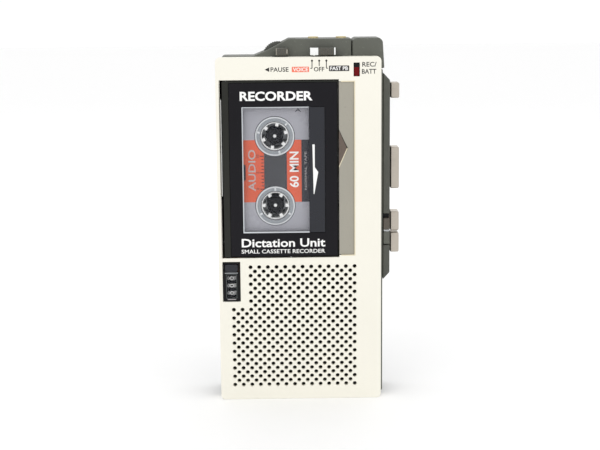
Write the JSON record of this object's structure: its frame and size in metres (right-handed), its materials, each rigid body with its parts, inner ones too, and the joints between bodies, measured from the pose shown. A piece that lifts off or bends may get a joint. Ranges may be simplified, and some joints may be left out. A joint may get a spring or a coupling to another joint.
{
  "type": "portable tape recorder",
  "caption": "Slim hand-held cassette tape recorder with a windowed door, loudspeaker grille, side keys, tape counter and top-edge controls.",
  "frame": {"origin": "centre of the flat bottom end that the recorder stands on", "axes": "+Z from the bottom end to the top end with the jacks; -Y out of the front cover with the door and the sound holes; +X towards the key rail"},
  "size_m": [0.0575, 0.0183, 0.1144],
  "materials": {
    "ivory_plastic": "fine satin moulding, warm white",
    "olive_plastic": "grey-olive moulding, fine texture",
    "gloss_black": "polished",
    "clear_window": "polished clear plastic",
    "bright_steel": "drawn or stamped",
    "strip_grey": "satin grey",
    "black_plastic": "satin",
    "white_plastic": "satin",
    "red_lens": "polished",
    "champagne_metal": "brushed, plated",
    "brass": "turned",
    "rubber": "ground",
    "board_green": "solder mask",
    "cone_paper": "pressed paper",
    "shell_grey": "smoky clear moulding",
    "tape": "wound tape",
    "cell_jacket": "printed steel jacket"
  },
  "bodies": {
    "case": {"battery_left": "cell_jacket", "battery_right": "cell_jacket", "battery_spring": "bright_steel", "battery_strap": "bright_steel", "case_screw_lower_right": "bright_steel", "case_screw_upper_left": "bright_steel", "case_screw_upper_right": "bright_steel", "cassette_shell_back": "shell_grey", "cassette_shell_front": "shell_grey", "chassis_plate": "bright_steel", "circuit_board": "board_green", "counter_axle": "bright_steel", "counter_bezel": "black_plastic", "door_hinge_pin": "bright_steel", "drive_belt": "rubber", "earphone_jack": "brass", "front_cover": "ivory_plastic", "key_rail": "olive_plastic", "latch_strip": "strip_grey", "led_lens": "red_lens", "microphone_capsule": "bright_steel", "microphone_housing": "olive_plastic", "microphone_jack": "brass", "motor": "bright_steel", "rear_case": "olive_plastic", "speaker_cone": "cone_paper", "speaker_frame": "black_plastic"},
    "door": {"door_frame": "olive_plastic", "door_panel": "gloss_black", "door_window": "clear_window"},
    "takeup_reel": {"takeup_hub": "white_plastic", "takeup_tape": "tape", "takeup_spindle": "black_plastic", "takeup_gear": "white_plastic"},
    "supply_reel": {"supply_hub": "white_plastic", "supply_tape": "tape", "supply_spindle": "black_plastic", "supply_gear": "white_plastic"},
    "idler": {"idler_gear": "white_plastic"},
    "capstan_shaft": {"flywheel": "brass", "capstan": "bright_steel"},
    "motor_shaft": {"motor_pulley": "brass"},
    "head_carriage": {"head_slide": "bright_steel", "tape_head": "bright_steel", "erase_head": "black_plastic", "pinch_arm": "bright_steel"},
    "pinch": {"pinch_roller": "rubber"},
    "record_button": {"record_key": "champagne_metal"},
    "play_button": {"play_key": "champagne_metal"},
    "forward_button": {"forward_key": "champagne_metal"},
    "rewind_button": {"rewind_key": "champagne_metal"},
    "speed_selector": {"speed_switch": "olive_plastic"},
    "pause_switch": {"pause_slider": "olive_plastic"},
    "mode_switch": {"mode_slider": "olive_plastic"},
    "volume_knob": {"volume_dial": "olive_plastic"},
    "counter_units": {"counter_drum_units": "black_plastic"},
    "counter_tens": {"counter_drum_tens": "black_plastic"},
    "counter_hundreds": {"counter_drum_hundreds": "black_plastic"},
    "counter_reset": {"counter_reset_button": "strip_grey"},
    "battery_hatch": {"battery_cover": "olive_plastic"}
  },
  "joints": [
    {"name": "door_hinge", "type": "hinge", "parent": "case", "child": "door", "pos_m": [-0.024, -0.0086, 0.07377], "axis": [0, 0, -1], "range_deg": [0, 95]},
    {"name": "takeup_spin", "type": "hinge", "parent": "case", "child": "takeup_reel", "pos_m": [-0.0075, 0, 0.08403], "axis": [0, 1, 0], "continuous": true},
    {"name": "supply_spin", "type": "hinge", "parent": "case", "child": "supply_reel", "pos_m": [-0.0075, 0, 0.06223], "axis": [0, 1, 0], "continuous": true},
    {"name": "idler_spin", "type": "hinge", "parent": "case", "child": "idler", "pos_m": [-0.0075, 0, 0.07312], "axis": [0, 1, 0], "continuous": true},
    {"name": "capstan_spin", "type": "hinge", "parent": "case", "child": "capstan_shaft", "pos_m": [0.0092, 0, 0.06053], "axis": [0, 1, 0], "continuous": true},
    {"name": "motor_spin", "type": "hinge", "parent": "case", "child": "motor_shaft", "pos_m": [0.014, 0, 0.036], "axis": [0, 1, 0], "continuous": true},
    {"name": "head_carriage_slide", "type": "slide", "parent": "case", "child": "head_carriage", "axis": [-1, 0, 0], "range_m": [0, 0.002]},
    {"name": "pinch_spin", "type": "hinge", "parent": "head_carriage", "child": "pinch", "pos_m": [0.0145, 0, 0.06053], "axis": [0, 1, 0], "continuous": true},
    {"name": "record_key_push", "type": "slide", "parent": "case", "child": "record_button", "axis": [-1, 0, 0], "range_m": [0, 0.002], "stiffness_N_per_m": 400},
    {"name": "play_key_push", "type": "slide", "parent": "case", "child": "play_button", "axis": [-1, 0, 0], "range_m": [0, 0.002], "stiffness_N_per_m": 400},
    {"name": "forward_key_push", "type": "slide", "parent": "case", "child": "forward_button", "axis": [-1, 0, 0], "range_m": [0, 0.002], "stiffness_N_per_m": 400},
    {"name": "rewind_key_push", "type": "slide", "parent": "case", "child": "rewind_button", "axis": [-1, 0, 0], "range_m": [0, 0.002], "stiffness_N_per_m": 400},
    {"name": "speed_select", "type": "slide", "parent": "case", "child": "speed_selector", "axis": [0, 0, 1], "range_m": [0, 0.0012]},
    {"name": "pause_slide", "type": "slide", "parent": "case", "child": "pause_switch", "axis": [-1, 0, 0], "range_m": [0, 0.0022]},
    {"name": "mode_slide", "type": "slide", "parent": "case", "child": "mode_switch", "axis": [1, 0, 0], "range_m": [0, 0.0044]},
    {"name": "volume_turn", "type": "hinge", "parent": "case", "child": "volume_knob", "pos_m": [-0.0061, 0, 0.1082], "axis": [0, -1, 0], "range_deg": [0, 300]},
    {"name": "counter_units_spin", "type": "hinge", "parent": "case", "child": "counter_units", "pos_m": [-0.0216, -0.0051, 0.03445], "axis": [0, 0, 1], "continuous": true},
    {"name": "counter_tens_spin", "type": "hinge", "parent": "case", "child": "counter_tens", "pos_m": [-0.0216, -0.0051, 0.03685], "axis": [0, 0, 1], "continuous": true},
    {"name": "counter_hundreds_spin", "type": "hinge", "parent": "case", "child": "counter_hundreds", "pos_m": [-0.0216, -0.0051, 0.03925], "axis": [0, 0, 1], "continuous": true},
    {"name": "counter_reset_push", "type": "slide", "parent": "case", "child": "counter_reset", "axis": [0, 1, 0], "range_m": [0, 0.0008], "stiffness_N_per_m": 200},
    {"name": "battery_cover_slide", "type": "slide", "parent": "case", "child": "battery_hatch", "axis": [-1, 0, 0], "range_m": [0, 0.026]}
  ],
  "couplings": [
    {"joint": "takeup_spin", "follows": "supply_spin", "ratio": 1},
    {"joint": "idler_spin", "follows": "supply_spin", "ratio": -2.9091},
    {"joint": "counter_units_spin", "follows": "supply_spin", "ratio": 0.5},
    {"joint": "counter_tens_spin", "follows": "supply_spin", "ratio": 0.05},
    {"joint": "counter_hundreds_spin", "follows": "supply_spin", "ratio": 0.005},
    {"joint": "motor_spin", "follows": "capstan_spin", "ratio": 3.7},
    {"joint": "head_carriage_slide", "follows": "play_key_push", "ratio": 1}
  ]
}
